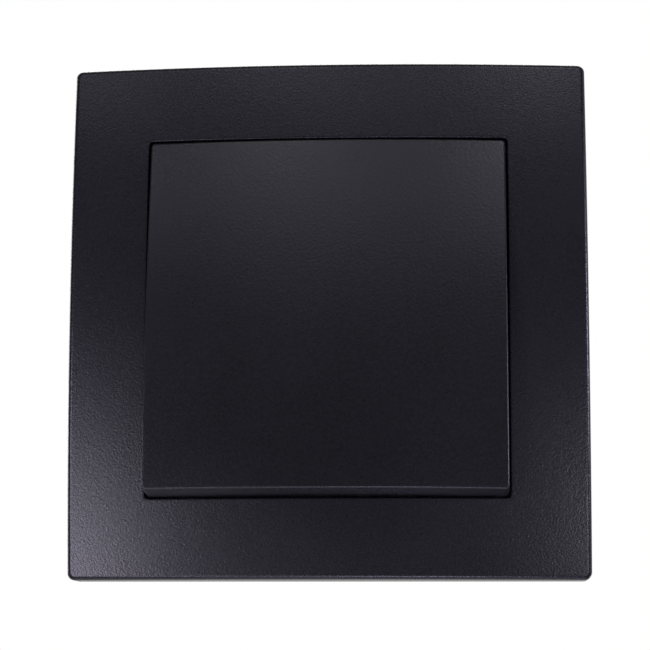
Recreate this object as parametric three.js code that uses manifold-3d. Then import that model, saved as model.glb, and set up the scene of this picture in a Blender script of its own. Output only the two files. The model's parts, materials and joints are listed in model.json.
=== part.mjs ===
// Flush rocker wall switch: crowned cover frame, tilting rocker key and a
// two-way switch insert on a steel support plate.
//
// Panel coordinates are used while building: x to the right, y up, z out of
// the wall towards the room, with z = 0 on the wall plane. The exported group
// turns this so that +Z is up, the front faces -Y and the wall plane is Y = 0.
import * as THREE from 'three';
import { mergeVertices } from 'three/addons/utils/BufferGeometryUtils.js';
import Module from 'manifold-3d';

const wasm = await Module();
wasm.setup();

// ---------------------------------------------------------------- dimensions
const FRAME_W = 81.2;          // cover frame outside width
const FRAME_H = 81.3;          // cover frame outside height
const FRAME_R = 1.15;          // outline corner radius
const FRAME_EDGE = 6.0;        // frame depth at its outer corners
const FRAME_CROWN = 2.8;       // crown of the front, each direction
const FRAME_WALL = 2.0;        // front wall thickness
const SKIRT_WALL = 1.8;        // outer skirt thickness
const WINDOW = 56.5;           // square window, front edge
const WINDOW_R = 0.5;
const COLLAR_HALF = 30.1;      // outside of the collar round the window
const COLLAR_BACK = 1.4;       // collar stops here, clear of the plate

const KEY = 55.74;              // rocker key, square
const KEY_TALL = 55.6;       // its height
const KEY_EDGE = 12.3;         // key front at its corners, key level
const KEY_CROWN = 1.3;         // crown of the key, each direction
const KEY_RIM = 4.6;           // back edge of the key's skirts
const KEY_WALL = 1.6;
const KEY_ROOF = 1.9;
const PIVOT_Z = 10.0;          // rocker axis, in front of the wall
const TILT = 6.67;             // key tilt each way, degrees

const PLATE = 71.0;            // support plate, square
const PLATE_T = 1.0;
const PLATE_R = 4.0;
const OPENING_X = 17.0;        // half of the opening for the insert
const OPENING_Y = 18.0;
const BOX_SCREW = 30.0;        // 60 mm fixing pitch of a flush box
const SLOT_R = 1.7;            // half width of the fixing slots
const MOUTH_R = 3.3;           // wide end of a slot, for the screw head
const HOUSING_X = 19.0;        // half width of the rear housing
const HOUSING_Y = 20.0;
const HOUSING_BACK = -22.0;
const HOUSING_WALL = 1.5;
const FLOOR_Z = -20.0;         // inside of the rear wall

const PLUNGER_L = 21.0;        // pivot to plunger tip
const FULCRUM_Z = -12.05;      // knife edge of the seesaw
const SEESAW_TILT = 8.0;       // seesaw tilt each way, degrees
const SEESAW_HALF = 10.5;
const CONTACT_Y = 9.0;         // contact rivets from the fulcrum
const STRIP_Z = -17.2;         // underside of the terminal strips
const STRIP_T = 0.8;
const CLAW_X = 23.5;           // claw screw axis from the centre
const CLAW_PIVOT_X = 20.6;
const CLAW_PIVOT_Z = -1.6;
const CARRIER_Z = PIVOT_Z - 2.7; // underside of the carrier plate
const GAP = 0.3;

// ------------------------------------------------------------------- helpers
const rad = THREE.MathUtils.degToRad;

function solid(geometry) {
  const g = geometry.clone();
  for (const key of Object.keys(g.attributes)) if (key !== 'position') g.deleteAttribute(key);
  const m = mergeVertices(g, 1e-5);
  return new wasm.Manifold(new wasm.Mesh({
    numProp: 3,
    vertProperties: new Float32Array(m.attributes.position.array),
    triVerts: new Uint32Array(m.index.array),
  }));
}

function geometryOf(manifold) {
  const mesh = manifold.getMesh();
  const g = new THREE.BufferGeometry();
  const n = mesh.numProp;
  const count = mesh.vertProperties.length / n;
  const position = new Float32Array(count * 3);
  for (let i = 0; i < count; i++) {
    for (let k = 0; k < 3; k++) position[3 * i + k] = mesh.vertProperties[n * i + k];
  }
  g.setAttribute('position', new THREE.BufferAttribute(position, 3));
  g.setIndex(new THREE.BufferAttribute(new Uint32Array(mesh.triVerts), 1));
  g.computeVertexNormals();
  return g;
}

// box given by its lowest and highest corners
function box(x0, x1, y0, y1, z0, z1) {
  const g = new THREE.BoxGeometry(x1 - x0, y1 - y0, z1 - z0);
  g.translate((x0 + x1) / 2, (y0 + y1) / 2, (z0 + z1) / 2);
  return solid(g);
}

// cylinder along an axis, from a to b on that axis
function rod(axis, r, a, b, u = 0, v = 0, sides = 16) {
  const g = new THREE.CylinderGeometry(r, r, Math.abs(b - a), sides);
  const mid = (a + b) / 2;
  if (axis === 'x') { g.rotateZ(-Math.PI / 2); g.translate(mid, u, v); }
  if (axis === 'y') g.translate(u, mid, v);
  if (axis === 'z') { g.rotateX(Math.PI / 2); g.translate(u, v, mid); }
  return solid(g);
}

function roundedShape(hw, hh, r, steps = 4) {
  const s = new THREE.Shape();
  const corners = [[hw - r, hh - r, 0], [-hw + r, hh - r, 90], [-hw + r, -hh + r, 180], [hw - r, -hh + r, 270]];
  const pts = [];
  for (const [cx, cy, a0] of corners) {
    for (let i = 0; i <= steps; i++) {
      const a = rad(a0 + (90 * i) / steps);
      pts.push(new THREE.Vector2(cx + r * Math.cos(a), cy + r * Math.sin(a)));
    }
  }
  s.setFromPoints(pts);
  return s;
}

function slab(shape, z0, z1) {
  const g = new THREE.ExtrudeGeometry(shape, { depth: z1 - z0, bevelEnabled: false, steps: 1, curveSegments: 8 });
  g.translate(0, 0, z0);
  return solid(g);
}

// polygon in the x-z plane, extruded from y0 to y1
function profileXZ(points, y0, y1) {
  const s = new THREE.Shape(points.map(([x, z]) => new THREE.Vector2(x, -z)));
  const g = new THREE.ExtrudeGeometry(s, { depth: y1 - y0, bevelEnabled: false, steps: 1 });
  g.rotateX(-Math.PI / 2);
  g.translate(0, y0, 0);
  return solid(g);
}

// polygon in the y-z plane, extruded from x0 to x1
function profileYZ(points, x0, x1) {
  const s = new THREE.Shape(points.map(([y, z]) => new THREE.Vector2(y, z)));
  const g = new THREE.ExtrudeGeometry(s, { depth: x1 - x0, bevelEnabled: false, steps: 1 });
  const m = new THREE.Matrix4().set(0, 0, 1, x0, 1, 0, 0, 0, 0, 1, 0, 0, 0, 0, 0, 1);
  g.applyMatrix4(m);
  return solid(g);
}

// x-z outline with its points in the order profileXZ expects
function wound(points) {
  const clockwise = THREE.ShapeUtils.isClockWise(points.map(([x, z]) => new THREE.Vector2(x, -z)));
  return clockwise ? points.slice().reverse() : points;
}

// outline of a bent strip of even thickness, from its centre line
function bentStrip(line, t) {
  const left = [], right = [];
  for (let i = 0; i < line.length; i++) {
    const p = new THREE.Vector2(...line[i]);
    const dirs = [];
    if (i > 0) dirs.push(p.clone().sub(new THREE.Vector2(...line[i - 1])).normalize());
    if (i < line.length - 1) dirs.push(new THREE.Vector2(...line[i + 1]).sub(p).normalize());
    const n = new THREE.Vector2();
    for (const d of dirs) n.add(new THREE.Vector2(-d.y, d.x));
    n.normalize();
    const k = t / 2 / Math.max(0.35, n.dot(new THREE.Vector2(-dirs[0].y, dirs[0].x)));
    left.push([p.x + n.x * k, p.y + n.y * k]);
    right.push([p.x - n.x * k, p.y - n.y * k]);
  }
  return left.concat(right.reverse());
}

// square block whose front is crowned and whose sides follow a list of levels
function crownedBlock(hw, hh, levels, edge, crown, cells, ux = hw, uy = hh) {
  const nz = levels.length;                 // last level is the crowned front
  const g = new THREE.BoxGeometry(2, 2, nz, cells, cells, nz);
  const p = g.attributes.position;
  for (let i = 0; i < p.count; i++) {
    const k = Math.round(p.getZ(i) + nz / 2);
    const inset = k < nz ? levels[k][1] : 0;
    const x = p.getX(i) * (hw - inset), y = p.getY(i) * (hh - inset);
    const front = edge + crown * (1 - (x / ux) ** 2) + crown * (1 - (y / uy) ** 2);
    p.setXYZ(i, x, y, k < nz ? levels[k][0] : front);
  }
  return solid(g);
}

function rivet(y, top, headR, headT, gripR, grip, tailR, tailT) {
  // turned contact rivet: head, shank, tail, from the top downwards
  const pts = [[0, top], [headR - 0.25, top], [headR, top - 0.25], [headR, top - headT], [gripR, top - headT],
    [gripR, top - headT - grip], [tailR, top - headT - grip], [tailR, top - headT - grip - tailT], [0, top - headT - grip - tailT]];
  const g = new THREE.LatheGeometry(pts.reverse().map(([r, z]) => new THREE.Vector2(r, z)), 16);
  g.rotateX(Math.PI / 2);
  g.translate(0, y, 0);
  return solid(g);
}

const plastic = (color, roughness) => new THREE.MeshStandardMaterial({ color, roughness, metalness: 0 });
const metal = (color, roughness) => new THREE.MeshStandardMaterial({ color, roughness, metalness: 1 });
const BLACK = () => plastic(0x1d1d21, 0.5);
const GREY = () => plastic(0x8f9296, 0.55);
const IVORY = () => plastic(0xd9d7cf, 0.5);
const ORANGE = () => plastic(0xd8702a, 0.5);
const STEEL = () => metal(0xb9bcc0, 0.35);
const ZINC = () => metal(0xc9c4a6, 0.35);
const DARK = () => metal(0x666668, 0.4);
const BRASS = () => metal(0xc9a24a, 0.3);
const SILVER = () => metal(0xe2e4e6, 0.25);

const object = new THREE.Group();
const panel = new THREE.Group();
panel.rotation.x = Math.PI / 2;
object.add(panel);

function place(name, manifold, material, parent = panel) {
  const mesh = new THREE.Mesh(geometryOf(manifold), material);
  mesh.name = name;
  parent.add(mesh);
  return mesh;
}

// the key, its carrier and the plunger sit on the tilting axis
const rocker = new THREE.Group();
rocker.position.z = PIVOT_Z;
rocker.rotation.x = rad(-TILT);
panel.add(rocker);
const rockerParts = new THREE.Group();
rockerParts.position.z = -PIVOT_Z;
rocker.add(rockerParts);

// the seesaw stands tilted the other way on its knife edge
const seesaw = new THREE.Group();
seesaw.position.z = FULCRUM_Z;
seesaw.rotation.x = rad(SEESAW_TILT);
panel.add(seesaw);
const seesawParts = new THREE.Group();
seesawParts.position.z = -FULCRUM_Z;
seesaw.add(seesawParts);

// ------------------------------------------------------------- cover frame
{
  const hw = FRAME_W / 2, hh = FRAME_H / 2;
  let f = slab(roundedShape(hw, hh, FRAME_R), 0, 16)
    .intersect(crownedBlock(hw + 0.01, hh + 0.01, [[-1, 0]], FRAME_EDGE, FRAME_CROWN, 14, hw, hh));
  const cavity = slab(roundedShape(hw - SKIRT_WALL, hh - SKIRT_WALL, 0.6, 2), -2, 16)
    .intersect(crownedBlock(hw, hh, [[-1, 0]], FRAME_EDGE - FRAME_WALL, FRAME_CROWN, 8, hw, hh))
    .subtract(box(-COLLAR_HALF, COLLAR_HALF, -COLLAR_HALF, COLLAR_HALF, COLLAR_BACK, 20));
  f = f.subtract(cavity);
  f = f.subtract(slab(roundedShape(WINDOW / 2, WINDOW / 2, WINDOW_R), -2, 20));
  // stiffening ribs between collar and skirt
  const ribTop = crownedBlock(hw, hh, [[-1, 0]], FRAME_EDGE - 1, FRAME_CROWN, 8, hw, hh);
  for (const s of [-1, 1]) {
    for (const c of [-9, 9]) {
      const x0 = Math.min(s * (COLLAR_HALF - 0.5), s * (hw - 1)), x1 = Math.max(s * (COLLAR_HALF - 0.5), s * (hw - 1));
      const y0 = Math.min(s * (COLLAR_HALF - 0.5), s * (hh - 1)), y1 = Math.max(s * (COLLAR_HALF - 0.5), s * (hh - 1));
      f = f.add(box(x0, x1, c - 0.6, c + 0.6, 2.0, 12).intersect(ribTop));
      f = f.add(box(c - 0.6, c + 0.6, y0, y1, 2.0, 12).intersect(ribTop));
    }
    // latch arms that hook into the lugs of the support plate
    for (const c of [-16, 16]) {
      const arm = box(s > 0 ? 32.6 : -33.7, s > 0 ? 33.7 : -32.6, c - 2.4, c + 2.4, 1.6, 12).intersect(ribTop);
      const barb = profileXZ(wound([[s * 33.4, 2.0], [s * 34.6, 3.2], [s * 34.6, 3.6], [s * 33.4, 3.6]]), c - 2.2, c + 2.2);
      f = f.add(arm).add(barb);
    }
  }
  place('cover_frame', f, BLACK());
}

// ---------------------------------------------------------- support plate
{
  const h = PLATE / 2;
  let p = slab(roundedShape(h, h, PLATE_R), 0, PLATE_T)
    .subtract(box(-OPENING_X, OPENING_X, -OPENING_Y, OPENING_Y, -1, 3));
  for (const s of [-1, 1]) {
    // fixing slots on the 60 mm pitch, both ways, with a mouth for the screw head
    p = p.subtract(box(s * BOX_SCREW - SLOT_R, s * BOX_SCREW + SLOT_R, -4.0, 4.0, -1, 3));
    p = p.subtract(rod('z', SLOT_R, -1, 3, s * BOX_SCREW, -4.0)).subtract(rod('z', SLOT_R, -1, 3, s * BOX_SCREW, 4.0));
    p = p.subtract(rod('z', MOUTH_R, -1, 3, s * (BOX_SCREW + MOUTH_R - SLOT_R), s * 4.6));
    p = p.subtract(box(-4.0, 4.0, s * BOX_SCREW - SLOT_R, s * BOX_SCREW + SLOT_R, -1, 3));
    p = p.subtract(rod('z', SLOT_R, -1, 3, -4.0, s * BOX_SCREW)).subtract(rod('z', SLOT_R, -1, 3, 4.0, s * BOX_SCREW));
    p = p.subtract(rod('z', MOUTH_R, -1, 3, -s * 4.6, s * (BOX_SCREW + MOUTH_R - SLOT_R)));
    // claw screw holes
    p = p.subtract(rod('z', 1.9, -1, 3, s * CLAW_X, 0));
    for (const c of [-1, 1]) {
      p = p.subtract(rod('z', 1.7, -1, 3, s * 29.5, c * 29.5));
      // latch lugs, bent up from the edge, with a slot for the barb
      let lug = box(s > 0 ? 34.4 : -35.4, s > 0 ? 35.4 : -34.4, c * 16 - 3.6, c * 16 + 3.6, 0.4, 5.0);
      lug = lug.subtract(box(s > 0 ? 33 : -37, s > 0 ? 37 : -33, c * 16 - 2.5, c * 16 + 2.5, 1.7, 3.9));
      p = p.add(lug);
      // claw bearing tabs, bent down
      const y0 = c > 0 ? 5.0 : -5.8, y1 = c > 0 ? 5.8 : -5.0;
      let tab = box(s > 0 ? 19.6 : -22.2, s > 0 ? 22.2 : -19.6, y0, y1, -3.2, 0.4);
      tab = tab.subtract(rod('y', 1.05, -7, 7, s * CLAW_PIVOT_X, CLAW_PIVOT_Z));
      p = p.add(tab);
    }
  }
  place('support_plate', p, DARK());
}

// ------------------------------------------------------------ rear housing
const SCREWS = [[-14.6, 15.7], [14.6, -15.7]];
const TERMINALS = [
  { name: 'common', side: -1, y: 0 },
  { name: 'upper', side: 1, y: 9 },
  { name: 'lower', side: 1, y: -9 },
];
const chamfered = (hx, hy, c) => {
  const s = new THREE.Shape();
  s.setFromPoints([[hx - c, -hy], [hx, -hy + c], [hx, hy - c], [hx - c, hy], [-hx + c, hy], [-hx, hy - c], [-hx, -hy + c], [-hx + c, -hy]]
    .map(([x, y]) => new THREE.Vector2(x, y)));
  return s;
};
{
  let h = slab(chamfered(HOUSING_X, HOUSING_Y, 3), HOUSING_BACK, -GAP);
  h = h.subtract(slab(chamfered(HOUSING_X - HOUSING_WALL, HOUSING_Y - HOUSING_WALL, 2.2), FLOOR_Z, 2));
  // partitions beside the switching chamber
  for (const s of [-1, 1]) {
    h = h.add(box(s > 0 ? 6.2 : -7.0, s > 0 ? 7.0 : -6.2, -HOUSING_Y + 1, HOUSING_Y - 1, FLOOR_Z - 0.5, -4));
  }
  // divider between the two traveller terminals
  h = h.add(box(6.6, HOUSING_X - 1, -0.5, 0.5, FLOOR_Z - 0.5, -6));
  // ledges under the terminal strips
  h = h.add(box(-HOUSING_X + 1, -6.6, 3.4, 5.0, FLOOR_Z - 0.5, STRIP_Z - GAP));
  for (const c of [-1, 1]) h = h.add(box(-4.5, 4.5, c * 9 - 0.6, c * 9 + 0.6, FLOOR_Z - 0.5, -18.4));
  h = h.add(box(-2.5, 2.5, -1, 1, FLOOR_Z - 0.5, STRIP_Z - GAP));
  // screw posts
  for (const [x, y] of SCREWS) h = h.add(rod('z', 2.2, FLOOR_Z - 0.5, -4.3, x, y));
  // slots in the partitions for the strips
  h = h.subtract(box(-8, -5, -4.6, 4.6, STRIP_Z - GAP, STRIP_Z + STRIP_T + GAP));
  for (const c of [-1, 1]) h = h.subtract(box(5, 8, c * 9 - 3.0, c * 9 + 3.0, STRIP_Z - GAP, STRIP_Z + STRIP_T + GAP));
  for (const [x, y] of SCREWS) h = h.subtract(rod('z', 1.4, -16, 0, x, y));
  // wire entries and release slots in the rear wall
  for (const t of TERMINALS) {
    h = h.subtract(rod('z', 1.6, -23, -19, t.side * 13.6, t.y + 2.0));
    h = h.subtract(box(Math.min(t.side * 13.4, t.side * 10.0), Math.max(t.side * 13.4, t.side * 10.0), t.y - 4.6, t.y - 1.0, -23, -19));
  }
  place('rear_housing', h, GREY());
}

// ----------------------------------------------------------- front housing
{
  let h = slab(chamfered(20.1, 20.5, 3), PLATE_T + GAP, 3.0);
  h = h.subtract(box(-4.4, 4.4, -6.6, 6.6, 0, 4));
  for (const [x, y] of SCREWS) h = h.add(rod('z', 2.0, -4.0, 2, x, y));
  for (const s of [-1, 1]) {
    // bearing ears for the rocker trunnions
    const x0 = s > 0 ? 17.6 : -19.9, x1 = s > 0 ? 19.9 : -17.6;
    h = h.add(box(x0, x1, -3, 3, 2, PIVOT_Z)).add(rod('x', 3.0, x0, x1, 0, PIVOT_Z - 1.2).intersect(box(-30, 30, -3, 3, 2, PIVOT_Z + 1.5)));
    h = h.add(profileYZ([[-6.5, 2.5], [6.5, 2.5], [2.8, 6.5], [-2.8, 6.5]], x0, x1));
  }
  h = h.subtract(rod('x', 1.85, -25, 25, 0, PIVOT_Z));
  for (const [x, y] of SCREWS) h = h.subtract(rod('z', 1.4, -6, 4, x, y)).subtract(rod('z', 2.6, 1.6, 4, x, y));
  place('front_housing', h, IVORY());
}

// ---------------------------------------------------------- housing screws
SCREWS.forEach(([x, y], i) => {
  const pts = [[0, -14], [0.7, -14], [1.1, -13.2], [1.1, 1.9], [2.2, 1.9], [2.2, 2.7], [1.7, 3.1], [0, 3.1]];
  const g = new THREE.LatheGeometry(pts.map(([r, z]) => new THREE.Vector2(r, z)), 14);
  g.rotateX(Math.PI / 2);
  g.translate(x, y, 0);
  const s = solid(g).subtract(box(x - 1.5, x + 1.5, y - 0.25, y + 0.25, 2.5, 4)).subtract(box(x - 0.25, x + 0.25, y - 1.5, y + 1.5, 2.5, 4));
  place(i === 0 ? 'housing_screw_upper' : 'housing_screw_lower', s, STEEL());
});

// -------------------------------------------------------------- rocker key
{
  const h = KEY / 2, v = KEY_TALL / 2;
  let k = crownedBlock(h, v, [[KEY_RIM, 0.5], [KEY_RIM + 2.0, 0]], KEY_EDGE, KEY_CROWN, 12);
  const inner = h - KEY_WALL, tall = v - KEY_WALL;
  k = k.subtract(crownedBlock(inner, tall, [[KEY_RIM - 1, 0]], KEY_EDGE - KEY_ROOF, KEY_CROWN, 6, h, v));
  const roof = crownedBlock(h - 0.5, v - 0.5, [[0, 0]], KEY_EDGE - 0.8, KEY_CROWN, 6, h, v);
  for (const s of [-1, 1]) {
    k = k.add(box(-inner - 0.4, inner + 0.4, s * 19.5 - 0.5, s * 19.5 + 0.5, PIVOT_Z + 0.2, 16).intersect(roof));
    k = k.add(box(s * 21.6 - 0.5, s * 21.6 + 0.5, -tall - 0.4, -5, PIVOT_Z + 0.4, 16).intersect(roof));
    k = k.add(box(s * 21.6 - 0.5, s * 21.6 + 0.5, 5, tall + 0.4, PIVOT_Z + 0.4, 16).intersect(roof));
    // clip legs that snap under the carrier
    for (const c of [-12, 12]) {
      k = k.add(box(s > 0 ? 9.8 : -11.6, s > 0 ? 11.6 : -9.8, c - 2.5, c + 2.5, CARRIER_Z - 1.1, 16).intersect(roof));
      const low = CARRIER_Z - 1.1, ledge = CARRIER_Z - GAP;
      k = k.add(profileXZ(s > 0 ? [[11.2, low], [11.8, low], [12.7, ledge - 0.25], [12.7, ledge], [11.2, ledge]]
        : [[-11.2, ledge], [-12.7, ledge], [-12.7, ledge - 0.25], [-11.8, low], [-11.2, low]], c - 2.3, c + 2.3));
    }
  }
  place('rocker_key', k, BLACK(), rockerParts);
}

// ---------------------------------------------------------- rocker carrier
{
  const z0 = CARRIER_Z, z1 = CARRIER_Z + 1.6;
  let c = box(-13.6, 13.6, -17, 17, z0, z1);
  for (const s of [-1, 1]) {
    c = c.add(box(s > 0 ? 13.0 : -17.2, s > 0 ? 17.2 : -13.0, -4, 4, z0, PIVOT_Z + 1.4));
    c = c.add(rod('x', 1.5, s * 16.8, s * 20.4, 0, PIVOT_Z));
    for (const y of [-12, 12]) c = c.subtract(box(s > 0 ? 9.4 : -12.0, s > 0 ? 12.0 : -9.4, y - 3, y + 3, z0 - 1, z1 + 2));
    // upper and lower stiffening walls
    c = c.add(box(-13.6, 13.6, s > 0 ? 15.9 : -17, s > 0 ? 17 : -15.9, z1 - 0.4, z1 + 1.1));
  }
  c = c.add(box(-3.5, 3.5, -3.5, 3.5, -5, z1 + 0.9));
  c = c.subtract(rod('z', 2.1, -6, z1 - 0.5, 0, 0, 16));
  place('rocker_carrier', c, IVORY(), rockerParts);
}

// ----------------------------------------------- plunger and plunger spring
{
  const tip = PIVOT_Z - PLUNGER_L;
  const pts = [[0, tip]];
  for (let i = 1; i <= 5; i++) {
    const a = (Math.PI / 2) * (i / 5);
    pts.push([1.7 * Math.sin(a), tip + 1.7 - 1.7 * Math.cos(a)]);
  }
  pts.push([1.7, -1.5], [0.9, -1.5], [0.9, 1.0], [0, 1.0]);
  const g = new THREE.LatheGeometry(pts.map(([r, z]) => new THREE.Vector2(r, z)), 16);
  g.rotateX(Math.PI / 2);
  place('plunger', solid(g), IVORY(), rockerParts);

  class Helix extends THREE.Curve {
    getPoint(t, target = new THREE.Vector3()) {
      const turns = 6, a = turns * 2 * Math.PI * t;
      const flat = THREE.MathUtils.smoothstep(t, 0, 0.16) * 0.5 + THREE.MathUtils.smoothstep(t, 0.84, 1) * 0.5;
      const z = -1.0 + 8.9 * (0.12 * flat + 0.88 * t);
      return target.set(1.4 * Math.cos(a), 1.4 * Math.sin(a), z);
    }
  }
  const wire = new THREE.Shape();
  wire.setFromPoints(Array.from({ length: 6 }, (_, i) => new THREE.Vector2(0.22 * Math.cos(i * Math.PI / 3), 0.22 * Math.sin(i * Math.PI / 3))));
  const coil = new THREE.ExtrudeGeometry(wire, { steps: 72, bevelEnabled: false, extrudePath: new Helix() });
  place('plunger_spring', solid(coil), STEEL(), rockerParts);
}

// ------------------------------------------- seesaw contact and its rivets
{
  const top = FULCRUM_Z + 0.85, bottom = top - 1.0;
  let m = box(-3, 3, -SEESAW_HALF, SEESAW_HALF, bottom, top);
  for (const s of [-1, 1]) m = m.subtract(rod('z', 1.1, bottom - 1, top + 1, 0, s * CONTACT_Y));
  m = m.subtract(profileYZ([[-0.9, bottom - 0.1], [0.9, bottom - 0.1], [0, bottom + 0.55]], -4, 4));
  // guide ears along the middle of the strip
  for (const s of [-1, 1]) m = m.add(profileYZ([[-3.4, top - 0.5], [3.4, top - 0.5], [2.4, top + 1.3], [-2.4, top + 1.3]], s > 0 ? 2.4 : -3.0, s > 0 ? 3.0 : -2.4));
  place('moving_contact', m, BRASS(), seesawParts);
  place('moving_rivet_upper', rivet(CONTACT_Y, top + 0.8, 1.4, 0.5, 0.8, 1.6, 1.6, 1.0), SILVER(), seesawParts);
  place('moving_rivet_lower', rivet(-CONTACT_Y, top + 0.8, 1.4, 0.5, 0.8, 1.6, 1.6, 1.0), SILVER(), seesawParts);
}

// ------------------------------------------------- terminals and fixed tips
{
  const z0 = STRIP_Z, z1 = STRIP_Z + STRIP_T;
  // common terminal, with the knife edge post that carries the seesaw
  let c = box(-16.5, 2.4, -0.5, 4.0, z0, z1).add(box(-9, 2.4, -2.4, 3, z0, z1));
  c = c.add(profileYZ([[-0.8, z0 + 0.2], [0.8, z0 + 0.2], [0.8, FULCRUM_Z - 0.95], [0, FULCRUM_Z], [-0.8, FULCRUM_Z - 0.95]], -2.4, 2.4));
  c = c.add(box(-16.5, -15.7, -4, 4, z0, -7));
  c = c.subtract(rod('z', 1.8, z0 - 1, z1 + 1, -13.6, 2.0));
  place('common_terminal', c, BRASS());
  for (const [name, s] of [['traveller_terminal_upper', 1], ['traveller_terminal_lower', -1]]) {
    const y = s * CONTACT_Y;
    let t = box(-2.2, 16.5, y - 0.5, y + 2.4, z0, z1).add(box(-2.2, 9, y - 2.4, y + 2.4, z0, z1)).add(box(9, 16.5, y - 0.5, y + 4.0, z0, z1));
    t = t.add(box(15.7, 16.5, y - 4, y + 4, z0, -7));
    t = t.subtract(rod('z', 1.8, z0 - 1, z1 + 1, 13.6, y + 2.0)).subtract(rod('z', 1.1, z0 - 1, z1 + 1, 0, y));
    place(name, t, BRASS());
    place(s > 0 ? 'fixed_rivet_upper' : 'fixed_rivet_lower', rivet(y, -15.3, 1.8, 0.8, 0.8, 1.4, 1.4, 0.5), SILVER());
  }
}

// ----------------------------------------- wire clamps and release levers
for (const t of TERMINALS) {
  const s = t.side;
  const line = [[8.0, -15.6], [8.0, -8.6], [8.6, -7.3], [9.8, -7.1], [10.8, -8.0], [14.9, -13.6]];
  const pts = bentStrip(line.map(([x, z]) => [s * x, z]), 0.4);
  place(t.name + '_clamp_spring', profileXZ(wound(pts), t.y - 3.6, t.y + 3.6), STEEL());
  const xs = [Math.min(s * 13.0, s * 10.4), Math.max(s * 13.0, s * 10.4)];
  let lever = box(xs[0], xs[1], t.y - 4.2, t.y - 1.4, -23.0, -12.8);
  lever = lever.add(box(xs[0] - 0.6, xs[1] + 0.6, t.y - 4.2, t.y - 0.8, -19.7, -18.7));
  lever = lever.subtract(box(xs[0] + 0.7, xs[1] - 0.7, t.y - 3.4, t.y - 2.2, -24, -22.4));
  place(t.name + '_release_lever', lever, ORANGE());
}

// ----------------------------------------------- claws, claw screws and nuts
for (const [side, s] of [['left', -1], ['right', 1]]) {
  const X = (a, b) => [Math.min(s * a, s * b), Math.max(s * a, s * b)];
  // claw: two cheeks, an outer web and a toothed foot
  const cheek = [[19.8, -0.8], [19.8, -2.8], [24.8, -8.5], [24.8, -17], [26.2, -17], [26.2, -3.2]];
  const ccw = wound(cheek.map(([x, z]) => [s * x, z]));
  let c = profileXZ(ccw, 3.8, 4.6).add(profileXZ(ccw, -4.6, -3.8));
  c = c.add(box(...X(25.4, 26.2), -4.4, 4.4, -17, -3.6));
  c = c.add(box(...X(25.4, 28.0), -4.6, 4.6, -17.0, -16.2));
  for (const y of [-3.0, -1.0, 1.0, 3.0]) c = c.subtract(box(...X(27.2, 28.5), y - 0.5, y + 0.5, -18, -15));
  c = c.add(rod('y', 0.7, 4.4, 6.4, s * CLAW_PIVOT_X, CLAW_PIVOT_Z, 12)).add(rod('y', 0.7, -6.4, -4.4, s * CLAW_PIVOT_X, CLAW_PIVOT_Z, 12));
  place('claw_' + side, c, ZINC());
  // screw, held captive by its head on the plate
  const pts = [[0, -15.6], [0.9, -15.6], [1.5, -14.8], [1.5, 1.3], [2.8, 1.3], [2.8, 2.5], [2.1, 3.2], [0, 3.2]];
  const g = new THREE.LatheGeometry(pts.map(([r, z]) => new THREE.Vector2(r, z)), 16);
  g.rotateX(Math.PI / 2);
  g.translate(s * CLAW_X, 0, 0);
  place('claw_screw_' + side, solid(g).subtract(box(s * CLAW_X - 3, s * CLAW_X + 3, -0.4, 0.4, 2.2, 4)), STEEL());
  place('claw_nut_' + side, box(...X(21.3, 25.1), -3.5, 3.5, -13.6, -11.2).subtract(rod('z', 1.9, -15, -10, s * CLAW_X, 0)), STEEL());
}

export default object;
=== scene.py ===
import json
import math

import bmesh
import bpy
import numpy as np
from mathutils import Matrix, Vector


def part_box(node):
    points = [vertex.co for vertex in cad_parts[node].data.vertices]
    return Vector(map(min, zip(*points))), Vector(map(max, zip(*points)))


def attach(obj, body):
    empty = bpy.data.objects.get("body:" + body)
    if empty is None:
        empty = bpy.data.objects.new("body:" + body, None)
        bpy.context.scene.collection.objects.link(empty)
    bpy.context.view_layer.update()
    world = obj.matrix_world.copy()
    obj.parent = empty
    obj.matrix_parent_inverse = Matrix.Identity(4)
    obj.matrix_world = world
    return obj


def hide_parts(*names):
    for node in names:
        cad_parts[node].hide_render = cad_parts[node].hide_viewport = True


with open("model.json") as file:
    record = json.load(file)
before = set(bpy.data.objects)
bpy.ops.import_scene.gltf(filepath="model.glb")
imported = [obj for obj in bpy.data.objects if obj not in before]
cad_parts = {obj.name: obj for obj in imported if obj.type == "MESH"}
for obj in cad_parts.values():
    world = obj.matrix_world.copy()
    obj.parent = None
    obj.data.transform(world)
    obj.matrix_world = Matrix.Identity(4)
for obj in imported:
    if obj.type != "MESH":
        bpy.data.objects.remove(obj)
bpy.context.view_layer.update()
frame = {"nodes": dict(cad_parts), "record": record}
NODES = frame["nodes"]
scene = bpy.context.scene

# --------------------------------------------------------------------------
# Sizes in millimetres, panel coordinates: x right, y up, z out of the wall.
# The frame's outline comes from its CAD box, the crowns from the same design.
lo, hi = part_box("cover_frame")
FRAME_HW = (hi[0] - lo[0]) * 500.0
FRAME_HH = (hi[2] - lo[2]) * 500.0
FRAME_R = 1.15
FRAME_EDGE = 6.0
FRAME_CROWN = 2.8
WINDOW = 28.25
WINDOW_R = 0.5
COLLAR = 30.1
COLLAR_BACK = 1.4
SKIRT = 1.8
WALL = 2.0

KEY = 27.87
KEY_TALL = 27.8
KEY_R = 0.55
KEY_EDGE = 12.3
KEY_CROWN = 1.3
KEY_RIM = 4.6
KEY_WALL = 1.6
KEY_ROOF = 1.9
PIVOT = 10.0
TILT = math.radians(6.67)


def P(x, y, z):
    """Panel millimetres to row metres."""
    return (x * 0.001, -z * 0.001, y * 0.001)


def tilt(points, turned=True):
    """Turns key-level panel points to the key's rest position about its axis."""
    out = []
    c, s = math.cos(-TILT), math.sin(-TILT)
    for x, y, z in points:
        if turned:
            dz = z - PIVOT
            y, z = y * c - dz * s, PIVOT + y * s + dz * c
        out.append((x, y, z))
    return out


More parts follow.
